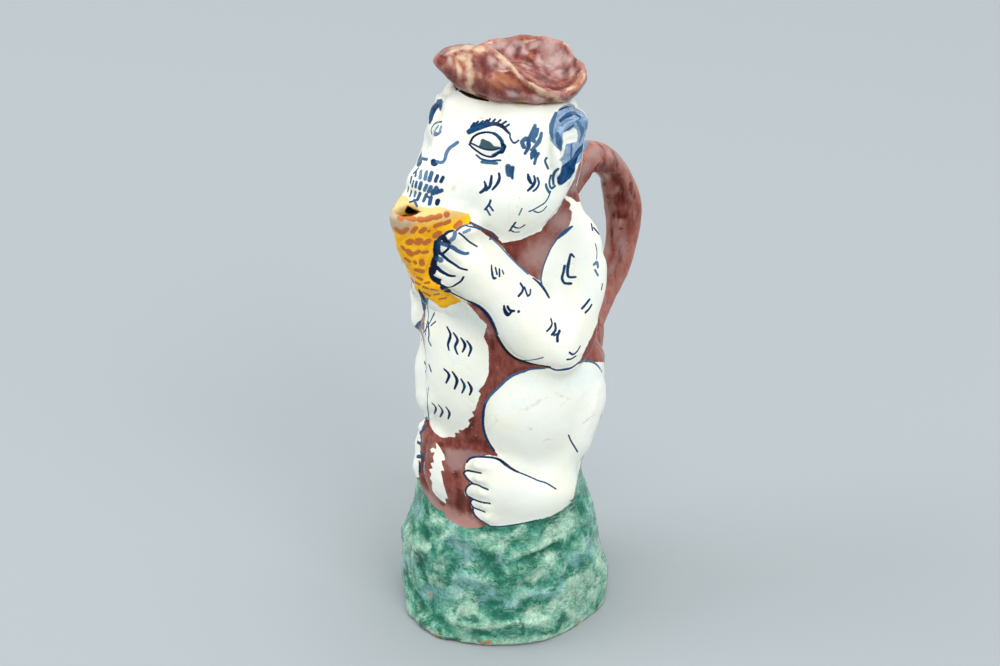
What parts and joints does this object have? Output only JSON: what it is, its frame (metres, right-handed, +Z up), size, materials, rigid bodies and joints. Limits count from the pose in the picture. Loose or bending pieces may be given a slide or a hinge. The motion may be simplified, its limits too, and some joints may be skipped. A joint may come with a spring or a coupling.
{
  "type": "figural ewer",
  "caption": "Glazed earthenware ewer shaped as a seated monkey drinking from a yellow basket spout, with a strap handle and a loose hat for a lid.",
  "frame": {"origin": "middle of the flat underside of the mound, on the surface the ewer stands on", "axes": "+Z up along the figure, -Y the way the monkey faces and the spout points, +X the monkey's left side"},
  "size_m": [0.0919, 0.1528, 0.2714],
  "materials": {
    "ewer_glaze": "glossy white tin glaze painted in blue, manganese brown, yellow and copper green, finely crackled and a little stained",
    "hat_glaze": "glossy manganese brown glaze with streaks, worn to buff clay along the brim"
  },
  "bodies": {
    "root": {"ewer": "ewer_glaze", "hat_lid": "hat_glaze"}
  },
  "joints": []
}
